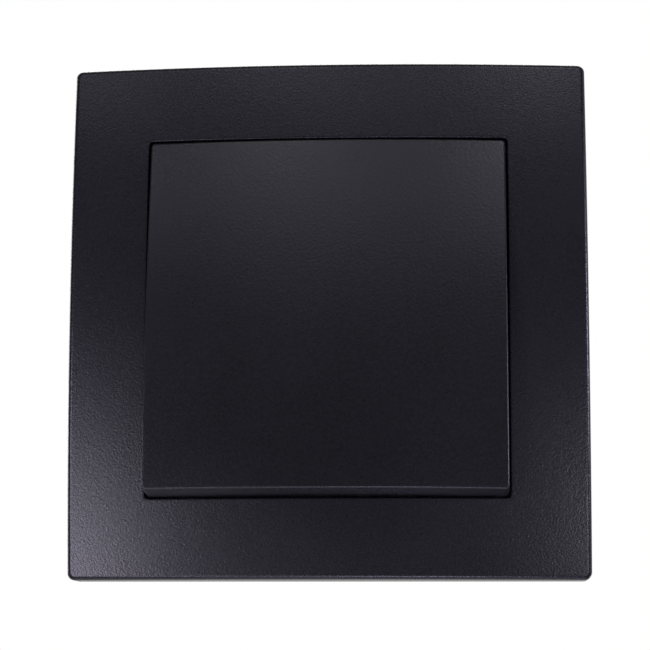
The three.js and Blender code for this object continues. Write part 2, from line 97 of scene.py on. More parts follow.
def dome(x, y):
    return FRAME_EDGE + FRAME_CROWN * (1 - (x / FRAME_HW) ** 2) + FRAME_CROWN * (1 - (y / FRAME_HH) ** 2)


def key_top(x, y):
    return KEY_EDGE + KEY_CROWN * (1 - (x / KEY) ** 2) + KEY_CROWN * (1 - (y / KEY_TALL) ** 2)


# ------------------------------------------------------------------ meshes
def ring(a, b, r, m=40, k=8):
    """A closed rounded rectangle of half sizes a and b, anticlockwise."""
    pts = []
    r = max(r, 0.02)
    corners = [(a - r, b - r, 0), (-a + r, b - r, 90), (-a + r, -b + r, 180), (a - r, -b + r, 270)]
    sides = [((a, -b + r), (a, b - r)), ((a - r, b), (-a + r, b)), ((-a, b - r), (-a, -b + r)), ((-a + r, -b), (a - r, -b))]
    for (p0, p1), (cx, cy, a0) in zip(sides, corners):
        for i in range(m):
            t = i / m
            # closer together near the corners, where the outline bends
            t = 0.5 - 0.5 * math.cos(math.pi * t) if m > 8 else t
            pts.append((p0[0] + (p1[0] - p0[0]) * t, p0[1] + (p1[1] - p0[1]) * t))
        for i in range(k):
            g = math.radians(a0 + 90.0 * i / k)
            pts.append((cx + r * math.cos(g), cy + r * math.sin(g)))
    return pts


def loft(bm, loops, closed=False, cap_first=False, cap_last=False):
    rows = [[bm.verts.new(P(*p)) for p in loop] for loop in loops]
    n = len(rows[0])
    pairs = list(zip(rows, rows[1:]))
    if closed:
        pairs.append((rows[-1], rows[0]))
    for r0, r1 in pairs:
        for i in range(n):
            j = (i + 1) % n
            bm.faces.new((r0[i], r0[j], r1[j], r1[i]))
    if cap_first:
        bm.faces.new(list(reversed(rows[0])))
    if cap_last:
        bm.faces.new(rows[-1])
    return rows


def soft_box(bm, x0, x1, y0, y1, z0, z1, bevel=0.15, turned=False, taper=0.0):
    """A moulded block with rounded edges, as its own closed body."""
    x0, x1 = min(x0, x1), max(x0, x1)
    y0, y1 = min(y0, y1), max(y0, y1)
    pts = []
    for z, e in ((z0, taper), (z1, 0.0)):
        pts += [(x0 + e, y0 + e, z), (x1 - e, y0 + e, z), (x1 - e, y1 - e, z), (x0 + e, y1 - e, z)]
    v = [bm.verts.new(P(*p)) for p in tilt(pts, turned)]
    quads = [(3, 2, 1, 0), (4, 5, 6, 7), (0, 1, 5, 4), (1, 2, 6, 5), (2, 3, 7, 6), (3, 0, 4, 7)]
    faces = [bm.faces.new([v[i] for i in q]) for q in quads]
    edges = list(dict.fromkeys(e for f in faces for e in f.edges))
    b = min(bevel, 0.3 * min(x1 - x0, y1 - y0, z1 - z0)) * 0.001
    if b > 0:
        bmesh.ops.bevel(bm, geom=edges, offset=b, segments=2, profile=0.7, affect="EDGES", clamp_overlap=True)


def finish_mesh(name, bm, body, nodes, material, angle=32.0):
    bmesh.ops.recalc_face_normals(bm, faces=bm.faces)
    me = bpy.data.meshes.new(name)
    bm.to_mesh(me)
    bm.free()
    me.materials.append(material)
    ob = bpy.data.objects.new(name, me)
    scene.collection.objects.link(ob)
    smooth(ob, angle)
    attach(ob, body)
    if nodes:
        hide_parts(*nodes)
    return ob


def smooth(ob, angle):
    me = ob.data
    for p in me.polygons:
        p.use_smooth = True
    bm = bmesh.new()
    bm.from_mesh(me)
    limit = math.radians(angle)
    for e in bm.edges:
        if len(e.link_faces) == 2:
            e.smooth = e.calc_face_angle(0.0) < limit
    bm.to_mesh(me)
    bm.free()


# --------------------------------------------------------------- materials
class Nodes:
    """Small helper that wires a node material."""

    def __init__(self, name):
        self.mat = bpy.data.materials.new(name)
        self.mat.use_nodes = True
        self.t = self.mat.node_tree
        self.b = self.t.nodes["Principled BSDF"]
        self.coord = self.t.nodes.new("ShaderNodeTexCoord").outputs["Object"]

    def new(self, kind, **kw):
        n = self.t.nodes.new(kind)
        for k, v in kw.items():
            setattr(n, k, v)
        return n

    def link(self, a, b):
        self.t.links.new(a, b)

    def mapping(self, scale=(1, 1, 1), rotation=(0, 0, 0)):
        m = self.new("ShaderNodeMapping")
        m.inputs["Scale"].default_value = scale
        m.inputs["Rotation"].default_value = rotation
        self.link(self.coord, m.inputs["Vector"])
        return m.outputs["Vector"]

    def noise(self, scale, detail=2.0, rough=0.5, vector=None, distortion=0.0):
        n = self.new("ShaderNodeTexNoise")
        n.inputs["Scale"].default_value = scale
        n.inputs["Detail"].default_value = detail
        n.inputs["Roughness"].default_value = rough
        n.inputs["Distortion"].default_value = distortion
        self.link(vector or self.coord, n.inputs["Vector"])
        return n.outputs["Fac"]

    def voronoi(self, scale, feature="F1", vector=None, out="Distance"):
        n = self.new("ShaderNodeTexVoronoi", feature=feature)
        n.inputs["Scale"].default_value = scale
        self.link(vector or self.coord, n.inputs["Vector"])
        return n.outputs[out]

    def ramp(self, fac, stops, interpolation="LINEAR"):
        n = self.new("ShaderNodeValToRGB")
        n.color_ramp.interpolation = interpolation
        e = n.color_ramp.elements
        while len(e) < len(stops):
            e.new(0.5)
        for el, (pos, col) in zip(e, stops):
            el.position = pos
            el.color = (*col, 1.0) if len(col) == 3 else col
        self.link(fac, n.inputs["Fac"])
        return n.outputs["Color"]

    def to(self, fac, a, b, lo=0.0, hi=1.0):
        n = self.new("ShaderNodeMapRange")
        n.inputs["From Min"].default_value = lo
        n.inputs["From Max"].default_value = hi
        n.inputs["To Min"].default_value = a
        n.inputs["To Max"].default_value = b
        self.link(fac, n.inputs["Value"])
        return n.outputs["Result"]

    def math(self, op, a, b=None):
        n = self.new("ShaderNodeMath", operation=op)
        for i, v in enumerate((a, b)):
            if v is None:
                continue
            if isinstance(v, (int, float)):
                n.inputs[i].default_value = v
            else:
                self.link(v, n.inputs[i])
        return n.outputs[0]

    def edges(self, radius):
        """Rounds the shading of every edge by this radius, in metres."""
        n = self.new("ShaderNodeBevel")
        n.samples = 4
        n.inputs["Radius"].default_value = radius
        return n.outputs["Normal"]

    def bump(self, height, distance, strength=1.0, normal=None):
        n = self.new("ShaderNodeBump")
        n.inputs["Distance"].default_value = distance
        n.inputs["Strength"].default_value = strength
        self.link(height, n.inputs["Height"])
        if normal is not None:
            self.link(normal, n.inputs["Normal"])
        return n.outputs["Normal"]

    def set(self, **kw):
        for k, v in kw.items():
            s = self.b.inputs[k.replace("_", " ")]
            if isinstance(v, (int, float, tuple)):
                s.default_value = v
            else:
                self.link(v, s)
        return self


def black_plastic(name, base, rough, seed, grain=0.000009, scale=2900.0):
    """Satin black moulding with a fine spark-eroded grain."""
    n = Nodes(name)
    v = n.mapping(scale=(1, 1, 1), rotation=(0.1 * seed, 0.2, 0.3 * seed))
    fine = n.noise(scale, 0.0, 0.5, v)
    second = n.noise(scale * 0.71, 0.0, 0.5, n.mapping(rotation=(0.9, 0.5 * seed, 0.4)))
    height = n.math("ADD", n.math("MULTIPLY", fine, 0.6), n.math("MULTIPLY", second, 0.4))
    wide = n.noise(38.0, 3.0, 0.5, v)
    speck = n.noise(scale * 0.8, 0.0, 0.5, n.mapping(rotation=(0.7, 0.3 * seed, 0.1)))
    tint = n.ramp(n.math("ADD", n.math("MULTIPLY", wide, 0.5), n.math("MULTIPLY", speck, 0.5)),
                  [(0.30, tuple(c * 0.75 for c in base)), (0.50, base), (0.72, tuple(c * 1.4 for c in base))])
    r = n.math("ADD", n.to(wide, rough - 0.012, rough + 0.012, 0.3, 0.7), n.to(speck, -0.012, 0.012, 0.3, 0.7))
    n.set(Base_Color=tint, Roughness=r, Normal=n.bump(height, grain, 1.0))
    n.b.inputs["IOR"].default_value = 1.5
    return n.mat


def moulded(name, base, rough, grain=0.000006, mottle=0.12, seed=1.0):
    """Plain moulded technical plastic: fine erosion grain and faint flow mottling."""
    n = Nodes(name)
    v = n.mapping(rotation=(0.3 * seed, 0.1, 0.7 * seed))
    fine = n.noise(3600.0, 3.0, 0.6, v)
    flow = n.noise(120.0, 4.0, 0.55, n.mapping(scale=(1.0, 0.45, 1.0)), distortion=0.6)
    dark = tuple(c * (1 - mottle) for c in base)
    light = tuple(min(1.0, c * (1 + mottle)) for c in base)
    tint = n.ramp(n.math("ADD", n.math("MULTIPLY", flow, 0.75), n.math("MULTIPLY", fine, 0.25)), [(0.32, dark), (0.52, base), (0.72, light)])
    n.set(Base_Color=tint, Roughness=n.to(flow, rough - 0.07, rough + 0.07, 0.3, 0.7), Normal=n.bump(fine, grain, 1.0, n.edges(0.00016)))
    n.b.inputs["IOR"].default_value = 1.5
    return n.mat


def plated(name, base, warm, rough, brush=(60.0, 60.0, 900.0), seed=1.0):
    """Zinc-plated sheet: rolled brushing, patchy passivation and small dulled spots."""
    n = Nodes(name)
    lines = n.noise(3.0, 4.0, 0.65, n.mapping(scale=brush))
    patch = n.noise(70.0, 4.0, 0.6, n.mapping(rotation=(seed, 0.4, 0.2)), distortion=0.8)
    spots = n.voronoi(420.0, "F1", n.mapping(rotation=(0.2, seed, 0.1)))
    fine = n.noise(2600.0, 2.0, 0.5)
    tint = n.ramp(n.math("ADD", n.math("MULTIPLY", patch, 0.8), n.math("MULTIPLY", lines, 0.2)),
                  [(0.30, tuple(c * 0.82 for c in base)), (0.50, base), (0.68, warm)])
    r = n.math("ADD", n.to(lines, rough - 0.06, rough + 0.08, 0.3, 0.7), n.to(spots, 0.06, -0.02, 0.0, 0.5))
    h = n.math("ADD", n.math("MULTIPLY", lines, 0.7), n.math("MULTIPLY", fine, 0.3))
    n.set(Base_Color=tint, Roughness=r, Normal=n.bump(h, 0.000004, 1.0, n.edges(0.00012)))
    n.b.inputs["Metallic"].default_value = 1.0
    return n.mat


def turned_metal(name, base, rough, dark=0.75, scale=1500.0):
    n = Nodes(name)
    fine = n.noise(scale, 3.0, 0.6)
    patch = n.noise(160.0, 3.0, 0.5)
    tint = n.ramp(patch, [(0.3, tuple(c * dark for c in base)), (0.6, base)])
    n.set(Base_Color=tint, Roughness=n.to(fine, rough - 0.08, rough + 0.1, 0.3, 0.7), Normal=n.bump(fine, 0.000004, 1.0, n.edges(0.00010)))
    n.b.inputs["Metallic"].default_value = 1.0
    return n.mat


M = {
    "frame_plastic": black_plastic("frame_black", (0.0105, 0.0105, 0.0125), 0.275, 1.0, 0.000024, 4200.0),
    "key_plastic": black_plastic("key_black", (0.0095, 0.0095, 0.0105), 0.290, 2.0, 0.0000215, 3300.0),
    "housing_plastic": moulded("housing_grey", (0.215, 0.222, 0.235), 0.52, mottle=0.10, seed=1.0),
    "insert_plastic": moulded("insert_ivory", (0.66, 0.64, 0.58), 0.46, mottle=0.05, seed=2.0),
    "lever_plastic": moulded("lever_orange", (0.62, 0.17, 0.03), 0.42, mottle=0.10, seed=3.0),
    # painted shade: the support plate is coloured near black so that the strip of it seen through the gap around the
    # key stays dark, standing in for shade there
    "plate_steel": plated("plate_dark_for_gap_shade", (0.085, 0.085, 0.090), (0.125, 0.120, 0.115), 0.36),
    "claw_steel": plated("zinc_plate", (0.62, 0.61, 0.57), (0.66, 0.60, 0.47), 0.44),
    "screw_steel": turned_metal("screw_zinc", (0.66, 0.66, 0.67), 0.30),
    "spring_steel": turned_metal("spring_steel", (0.50, 0.50, 0.52), 0.28, 0.7),
    "contact_brass": plated("rolled_brass", (0.76, 0.55, 0.22), (0.70, 0.44, 0.20), 0.27, (60.0, 900.0, 60.0), 2.0),
    "contact_silver": turned_metal("contact_silver", (0.86, 0.86, 0.85), 0.32, 0.82),
}


# ------------------------------------------------------------- cover frame
def make_cover_frame():
    bm = bmesh.new()
    A, B, R = FRAME_HW, FRAME_HH, FRAME_R
    rf, rw = 0.65, 0.18
    loops = []

    def add(a, b, r, zf):
        loops.append([(x, y, zf(x, y)) for x, y in ring(a, b, r)])

    add(A - 0.25, B - 0.25, R - 0.25, lambda x, y: 0.0)
    add(A - 0.08, B - 0.08, R - 0.08, lambda x, y: 0.07)
    add(A, B, R, lambda x, y: 0.25)
    for t in (0.04, 0.3, 0.6, 0.9, 0.985):
        add(A, B, R, lambda x, y, t=t: 0.25 + t * (dome(x, y) - rf - 0.25))
    for i in range(0, 9):
        g = math.radians(90.0 * i / 8)
        d = rf * (1 - math.cos(g))
        add(A - d, B - d, R - d * 0.9, lambda x, y, g=g: dome(x, y) - rf * (1 - math.sin(g)))
    a0, b0, r0 = A - rf, B - rf, R - rf * 0.9
    a1, r1 = WINDOW + rw, WINDOW_R + rw
    for t in (0.015, 0.06, 0.14, 0.24, 0.34, 0.44, 0.54, 0.64, 0.74, 0.84, 0.93, 0.98):
        add(a0 + (a1 - a0) * t, b0 + (a1 - b0) * t, r0 + (r1 - r0) * t, dome)
    for i in range(0, 7):
        g = math.radians(90.0 * i / 6)
        d = rw * (1 - math.sin(g))
        add(WINDOW + d, WINDOW + d, WINDOW_R + d, lambda x, y, g=g: dome(x, y) - rw * (1 - math.cos(g)))
    for t in (0.03, 0.25, 0.5, 0.75, 0.97):
        add(WINDOW, WINDOW, WINDOW_R, lambda x, y, t=t: (dome(x, y) - rw) * (1 - t) + COLLAR_BACK * t)
    add(WINDOW, WINDOW, WINDOW_R, lambda x, y: COLLAR_BACK + 0.10)
    add(WINDOW + 0.10, WINDOW + 0.10, WINDOW_R + 0.1, lambda x, y: COLLAR_BACK)
    add(COLLAR - 0.12, COLLAR - 0.12, 1.2, lambda x, y: COLLAR_BACK)
    add(COLLAR, COLLAR, 1.3, lambda x, y: COLLAR_BACK + 0.12)
    add(COLLAR, COLLAR, 1.3, lambda x, y: dome(x, y) - WALL - 0.5)
    add(COLLAR + 0.15, COLLAR + 0.15, 1.4, lambda x, y: dome(x, y) - WALL - 0.15)
    add(COLLAR + 0.5, COLLAR + 0.5, 1.6, lambda x, y: dome(x, y) - WALL)
    for t in (0.25, 0.5, 0.75):
        a = COLLAR + 0.5 + (A - SKIRT - 0.5 - COLLAR - 0.5) * t
        b = COLLAR + 0.5 + (B - SKIRT - 0.5 - COLLAR - 0.5) * t
        add(a, b, 1.4, lambda x, y: dome(x, y) - WALL)
    add(A - SKIRT - 0.5, B - SKIRT - 0.5, 1.1, lambda x, y: dome(x, y) - WALL)
    add(A - SKIRT - 0.15, B - SKIRT - 0.15, 0.9, lambda x, y: dome(x, y) - WALL - 0.15)
    add(A - SKIRT, B - SKIRT, 0.8, lambda x, y: dome(x, y) - WALL - 0.5)
    add(A - SKIRT, B - SKIRT, 0.8, lambda x, y: 0.15)
    add(A - SKIRT + 0.12, B - SKIRT + 0.12, 0.85, lambda x, y: 0.0)
    loft(bm, loops, closed=True)

    # ribs and latch arms on the inside
    for s in (-1, 1):
        for c in (-9, 9):
            z = min(dome(COLLAR, c), dome(A - 1.0, c)) - 1.2
            soft_box(bm, s * (COLLAR - 0.4), s * (A - SKIRT + 0.4), c - 0.6, c + 0.6, 2.0, z)
            soft_box(bm, c - 0.6, c + 0.6, s * (COLLAR - 0.4), s * (B - SKIRT + 0.4), 2.0, z)
        for c in (-16, 16):
            z = dome(s * 33.7, abs(c) + 2.4) - 1.2
            soft_box(bm, s * 32.6, s * 33.7, c - 2.4, c + 2.4, 1.6, z)
            pts = [(s * 33.5, 2.0), (s * 34.6, 3.2), (s * 34.6, 3.6), (s * 33.5, 3.6)]
            wedge(bm, pts, c - 2.2, c + 2.2)
    return finish_mesh("frame_shell", bm, "root", ["cover_frame"], M["frame_plastic"])


def wedge(bm, pts, y0, y1, turned=False, bevel=0.05):
    """A prism from an x-z outline, between two heights."""
    a = [bm.verts.new(P(*p)) for p in tilt([(x, y0, z) for x, z in pts], turned)]
    b = [bm.verts.new(P(*p)) for p in tilt([(x, y1, z) for x, z in pts], turned)]
    n = len(pts)
    faces = [bm.faces.new(a), bm.faces.new(list(reversed(b)))]
    for i in range(n):
        j = (i + 1) % n
        faces.append(bm.faces.new((a[i], b[i], b[j], a[j])))
    if bevel:
        edges = list(dict.fromkeys(e for f in faces for e in f.edges))
        bmesh.ops.bevel(bm, geom=edges, offset=bevel * 0.001, segments=2, profile=0.7, affect="EDGES", clamp_overlap=True)


# --------------------------------------------------------------- rocker key
def make_key():
    bm = bmesh.new()
    rf = 0.26
    loops = []

    def add(a, r, zf):
        loops.append(tilt([(x, y, zf(x, y)) for x, y in ring(a, a - (KEY - KEY_TALL), r)]))

    inner = KEY - KEY_WALL
    tall = KEY_TALL - KEY_WALL
    # inside of the shell, from the middle of the roof out and down to the rim
    roof = lambda x, y: key_top(x, y) - KEY_ROOF
    for t in (0.03, 0.15, 0.3, 0.45, 0.6, 0.75, 0.88):
        add((inner - 0.4) * t, 0.9 * t, roof)
    add(inner - 0.4, 0.9, roof)
    add(inner - 0.12, 0.9, lambda x, y: roof(x, y) - 0.12)
    add(inner, 0.9, lambda x, y: roof(x, y) - 0.4)
    add(inner, 0.9, lambda x, y: KEY_RIM + 0.1)
    add(inner + 0.1, 0.95, lambda x, y: KEY_RIM)
    # rim and outer skirt
    add(KEY - 0.5 - 0.1, KEY_R, lambda x, y: KEY_RIM)
    add(KEY - 0.5, KEY_R, lambda x, y: KEY_RIM + 0.1)
    add(KEY - 0.02, KEY_R, lambda x, y: KEY_RIM + 1.9)
    add(KEY, KEY_R, lambda x, y: KEY_RIM + 2.1)
    for t in (0.3, 0.6, 0.9, 0.985):
        add(KEY, KEY_R, lambda x, y, t=t: KEY_RIM + 2.1 + t * (key_top(x, y) - rf - KEY_RIM - 2.1))
    for i in range(0, 9):
        g = math.radians(90.0 * i / 8)
        d = rf * (1 - math.cos(g))
        add(KEY - d, KEY_R - d * 0.9, lambda x, y, g=g: key_top(x, y) - rf * (1 - math.sin(g)))
    for t in (0.99, 0.96, 0.9, 0.8, 0.7, 0.6, 0.5, 0.4, 0.3, 0.2, 0.1, 0.03):
        add((KEY - rf) * t, 0.2 + 0.6 * (1 - t) if t > 0.1 else 0.1, key_top)
    loft(bm, loops, cap_first=True, cap_last=True)

    for s in (-1, 1):
        soft_box(bm, -inner - 0.3, inner + 0.3, s * 19.5 - 0.5, s * 19.5 + 0.5, PIVOT + 0.2, KEY_EDGE + 0.2, turned=True)
        for t in (-1, 1):
            soft_box(bm, s * 21.6 - 0.5, s * 21.6 + 0.5, t * 5, t * (tall + 0.3), PIVOT + 0.4, KEY_EDGE + 0.1, turned=True)
        for c in (-12, 12):
            low, ledge = PIVOT - 2.7 - 1.1, PIVOT - 3.0
            soft_box(bm, s * 9.8, s * 11.6, c - 2.5, c + 2.5, low, KEY_EDGE + 0.9, turned=True)
            pts = [(s * 11.3, low), (s * 11.8, low), (s * 12.7, ledge - 0.25), (s * 12.7, ledge), (s * 11.3, ledge)]
            wedge(bm, pts, c - 2.3, c + 2.3, turned=True)
    return finish_mesh("key_shell", bm, "rocker", ["rocker_key"], M["key_plastic"])


frame_shell = make_cover_frame()
key_shell = make_key()


# ------------------------------------------- hardware detailed from the CAD
BODY = {n: b for b, names in frame["record"]["behaviour"]["bodies"].items() for n in names}
SLOT = {s["node"]: s["material_slot"] for s in frame["record"]["subparts"]}


def copy_of(node):
    """The CAD solid as a bmesh in the row frame, with its flat faces joined again."""
    src = NODES[node]
    bm = bmesh.new()
    bm.from_mesh(src.data)
    bmesh.ops.transform(bm, matrix=src.matrix_world, verts=bm.verts)
    bmesh.ops.remove_doubles(bm, verts=bm.verts, dist=2e-7)
    return bm


def soften(bm, bevel, segments=2, angle=25.0, dissolve=1.0, where=None):
    """Rounds the sharp edges of a solid; where limits it to edges whose middle passes."""
    bmesh.ops.dissolve_limit(bm, angle_limit=math.radians(dissolve), verts=bm.verts, edges=bm.edges, use_dissolve_boundaries=False)
    sharp = [e for e in bm.edges if len(e.link_faces) == 2 and e.calc_face_angle(0.0) > math.radians(angle)]
    if where:
        sharp = [e for e in sharp if where((e.verts[0].co + e.verts[1].co) * 500.0)]
    # one run of edges at a time, so that a short edge only holds back its own run
    left = set(sharp)
    runs = []
    for first in sharp if bevel > 0 else []:
        if first not in left:
            continue
        left.remove(first)
        todo, run = [first], []
        while todo:
            e = todo.pop()
            run.append(e)
            for v in e.verts:
                for f in v.link_edges:
                    if f in left:
                        left.remove(f)
                        todo.append(f)
        runs.append(run)
    for run in runs:
        bmesh.ops.bevel(bm, geom=[e for e in run if e.is_valid], offset=bevel * 0.001, segments=segments, profile=0.6, affect="EDGES", clamp_overlap=True)
    bmesh.ops.triangulate(bm, faces=[f for f in bm.faces if len(f.verts) > 4])
    bmesh.ops.dissolve_degenerate(bm, dist=1e-7, edges=bm.edges)


def clear_of_bearings(co):
    """True away from the trunnion bores, whose edges stay as they are cut."""
    return math.hypot(co.y + PIVOT, co.z) > 2.2


def detailed(node, bevel=0.12, segments=2, angle=25.0, dissolve=1.0, extra=None):
    """A copy of a CAD solid with rounded edges, which then stands for it."""
    bm = copy_of(node)
    soften(bm, bevel, segments, angle, dissolve, clear_of_bearings if node == "front_housing" else None)
    if extra:
        extra(bm)
    return finish_mesh(node + "_detail", bm, BODY[node], [node], M[SLOT[node]], angle=38.0)


def turn_x(points, angle, pivot):
    """Turns panel points about the X line at depth pivot."""
    c, s = math.cos(math.radians(angle)), math.sin(math.radians(angle))
    return [(x, y * c - (z - pivot) * s, pivot + y * s + (z - pivot) * c) for x, y, z in points]


def rounded(profile, f=0.12, steps=3):
    """A profile of (radius, depth) points whose inner corners are turned into small curves."""
    out = [profile[0]]
    for (a, b, c) in zip(profile, profile[1:], profile[2:]):
        ab = math.dist(a, b)
        bc = math.dist(b, c)
        d = min(f, 0.4 * ab, 0.4 * bc)
        p = (b[0] + (a[0] - b[0]) * d / ab, b[1] + (a[1] - b[1]) * d / ab)
        q = (b[0] + (c[0] - b[0]) * d / bc, b[1] + (c[1] - b[1]) * d / bc)
        for i in range(steps + 1):
            t = i / steps
            out.append(tuple((1 - t) ** 2 * u + 2 * t * (1 - t) * v + t * t * w for u, v, w in zip(p, b, q)))
    out.append(profile[-1])
    return out


def lathe(bm, x, y, profile, sides=32, place=None):
    """A turned body about the line through x, y; profile runs from the back to the front."""
    place = place or (lambda pts: pts)
    rows = []
    for r, z in profile:
        if r < 1e-6:
            rows.append([bm.verts.new(P(*place([(x, y, z)])[0]))])
        else:
            pts = [(x + r * math.cos(2 * math.pi * i / sides), y + r * math.sin(2 * math.pi * i / sides), z) for i in range(sides)]
            rows.append([bm.verts.new(P(*q)) for q in place(pts)])
    for a, b in zip(rows, rows[1:]):
        for i in range(sides):
            j = (i + 1) % sides
            quad = [a[i % len(a)], a[j % len(a)], b[j % len(b)], b[i % len(b)]]
            quad = list(dict.fromkeys(quad))
            if len(quad) > 2:
                bm.faces.new(quad)


def thread(bm, x, y, z0, z1, crest, root, pitch, tip=0.0, sides=24, per=6):
    """A closed threaded shank from z0 to z1, with a cone over the first tip millimetres."""
    n = int(round((z1 - z0) / pitch * per))
    rows = []
    for k in range(n + 1):
        z = z0 + (z1 - z0) * k / n
        fade = min(1.0, max(0.0, (z1 - z) / (1.5 * pitch)))
        cone = 1.0 if tip <= 0 else min(1.0, 0.35 + 0.65 * (z - z0) / tip)
        row_ = []
        for i in range(sides):
            a = 2 * math.pi * i / sides
            w = ((z - z0) / pitch - i / sides) % 1.0
            tri = 1 - abs(2 * w - 1)
            r = root + (crest - root) * min(1.0, 1.35 * tri) * fade
            row_.append(bm.verts.new(P(x + r * cone * math.cos(a), y + r * cone * math.sin(a), z)))
        rows.append(row_)
    for a, b in zip(rows, rows[1:]):
        for i in range(sides):
            j = (i + 1) % sides
            bm.faces.new((a[i], a[j], b[j], b[i]))
    bm.faces.new(list(reversed(rows[0])))
    bm.faces.new(rows[-1])


def screw(node, x, y, under, crest, root, pitch, z0, tip, bevel):
    """The head of the CAD screw, rounded, on a shank with a cut thread."""
    bm = copy_of(node)
    shank = [v for v in bm.verts if -v.co.y * 1000.0 < under - 0.05]
    bmesh.ops.delete(bm, geom=shank, context="VERTS")
    rim = [e for e in bm.edges if e.is_boundary]
    bmesh.ops.holes_fill(bm, edges=rim, sides=0)
    soften(bm, bevel)
    thread(bm, x, y, z0, under + 0.1, crest, root, pitch, tip)
    return finish_mesh(node + "_detail", bm, BODY[node], [node], M[SLOT[node]], angle=50.0)


def rivet(node, y, top, head_r, head_t, grip_r, grip, tail_r, tail_t, place=None):
    bm = bmesh.new()
    z = top - head_t - grip
    prof = [(0.0, z - tail_t), (tail_r, z - tail_t), (tail_r, z), (grip_r, z), (grip_r, top - head_t),
            (head_r, top - head_t), (head_r, top - 0.25), (head_r - 0.25, top), (0.0, top)]
    lathe(bm, 0.0, y, rounded(prof, 0.14), 32, place)
    return finish_mesh(node + "_detail", bm, BODY[node], [node], M[SLOT[node]], angle=50.0)


for node, kw in (
        ("support_plate", dict(bevel=0.10)),
        ("rear_housing", dict(bevel=0.16)),
        ("front_housing", dict(bevel=0.16)),
        ("rocker_carrier", dict(bevel=0.14)),
        ("moving_contact", dict(bevel=0.08)),
        ("common_terminal", dict(bevel=0.08)),
        ("traveller_terminal_upper", dict(bevel=0.08)),
        ("traveller_terminal_lower", dict(bevel=0.08)),
        ("common_clamp_spring", dict(bevel=0.06)),
        ("upper_clamp_spring", dict(bevel=0.06)),
        ("lower_clamp_spring", dict(bevel=0.06)),
        ("common_release_lever", dict(bevel=0.22)),
        ("upper_release_lever", dict(bevel=0.22)),
        ("lower_release_lever", dict(bevel=0.22)),
        ("claw_left", dict(bevel=0.10)),
        ("claw_right", dict(bevel=0.10)),
        ("claw_nut_left", dict(bevel=0.28)),
        ("claw_nut_right", dict(bevel=0.28)),
):
    detailed(node, **kw)

SCREW_AT = ((-14.6, 15.7), (14.6, -15.7))
screw("housing_screw_upper", *SCREW_AT[0], 1.9, 1.1, 0.86, 0.9, -14.0, 1.4, 0.12)
screw("housing_screw_lower", *SCREW_AT[1], 1.9, 1.1, 0.86, 0.9, -14.0, 1.4, 0.12)
screw("claw_screw_left", -23.5, 0.0, 1.3, 1.5, 1.25, 0.5, -15.6, 0.9, 0.16)
screw("claw_screw_right", 23.5, 0.0, 1.3, 1.5, 1.25, 0.5, -15.6, 0.9, 0.16)

FULCRUM, CONTACT = -12.05, 9.0
seesaw_place = lambda pts: turn_x(pts, 8.0, FULCRUM)
rivet("moving_rivet_upper", CONTACT, FULCRUM + 1.65, 1.4, 0.5, 0.8, 1.6, 1.6, 1.0, seesaw_place)
rivet("moving_rivet_lower", -CONTACT, FULCRUM + 1.65, 1.4, 0.5, 0.8, 1.6, 1.6, 1.0, seesaw_place)
rivet("fixed_rivet_upper", CONTACT, -15.3, 1.8, 0.8, 0.8, 1.4, 1.4, 0.5)
rivet("fixed_rivet_lower", -CONTACT, -15.3, 1.8, 0.8, 0.8, 1.4, 1.4, 0.5)


def make_plunger():
    bm = bmesh.new()
    tip = PIVOT - 21.0
    prof = [(0.0, tip)]
    for i in range(1, 9):
        a = math.pi / 2 * i / 8
        prof.append((1.7 * math.sin(a), tip + 1.7 - 1.7 * math.cos(a)))
    tail = rounded([(1.7, tip + 2.4), (1.7, -1.5), (0.9, -1.5), (0.9, 1.0), (0.0, 1.0)], 0.15)
    lathe(bm, 0.0, 0.0, prof + tail, 32, tilt)
    return finish_mesh("plunger_detail", bm, BODY["plunger"], ["plunger"], M[SLOT["plunger"]], angle=45.0)


make_plunger()

for node in sorted(NODES):
    ob = NODES[node]
    mat = M[SLOT[node]]
    if ob.data.materials:
        for i in range(len(ob.data.materials)):
            ob.material_slots[i].material = mat
    else:
        ob.data.materials.append(mat)

# ------------------------------------------------------------------- camera
RX, RY, RZ = math.radians(-8.633), math.radians(-3.285), math.radians(-0.104)
TX, TY, DIST, FOCAL = 0.69, 0.375, 353.58, 2234.0
FIT_DEPTH = FRAME_EDGE - 3.0      # depth of the fit's zero plane, out of the wall
rx = Matrix.Rotation(RX, 3, "X")
ry = Matrix.Rotation(RY, 3, "Y")
rz = Matrix.Rotation(RZ, 3, "Z")
rot = rz @ rx @ ry
inv = rot.transposed()
pos = inv @ Vector((-TX, -TY, DIST))
pos.z += FIT_DEPTH


def row(v, scale=1.0):
    return Vector((v.x, -v.z, v.y)) * scale


right, up, back = (row(inv @ Vector(e)) for e in ((1, 0, 0), (0, 1, 0), (0, 0, 1)))
cam = bpy.data.cameras.new("camera")
cam.sensor_width = 36.0
cam.lens = FOCAL * 36.0 / 650.0
cam.clip_start, cam.clip_end = 0.01, 50.0
cam_ob = bpy.data.objects.new("camera", cam)
scene.collection.objects.link(cam_ob)
m = Matrix((
    (right.x, up.x, back.x, 0), (right.y, up.y, back.y, 0), (right.z, up.z, back.z, 0), (0, 0, 0, 1)))
m.translation = row(pos, 0.001)
cam_ob.matrix_world = m
scene.camera = cam_ob

# -------------------------------------------------------------------- world
world = bpy.data.worlds.new("studio")
scene.world = world
world.use_nodes = True
wt = world.node_tree
wt.nodes.clear()
out = wt.nodes.new("ShaderNodeOutputWorld")
mix = wt.nodes.new("ShaderNodeMixShader")
path = wt.nodes.new("ShaderNodeLightPath")
dim = wt.nodes.new("ShaderNodeBackground")
white = wt.nodes.new("ShaderNodeBackground")
dim.inputs["Color"].default_value = (0.97, 0.95, 1.08, 1)
dim.inputs["Strength"].default_value = 0.06
white.inputs["Color"].default_value = (1, 1, 1, 1)
white.inputs["Strength"].default_value = 1.0
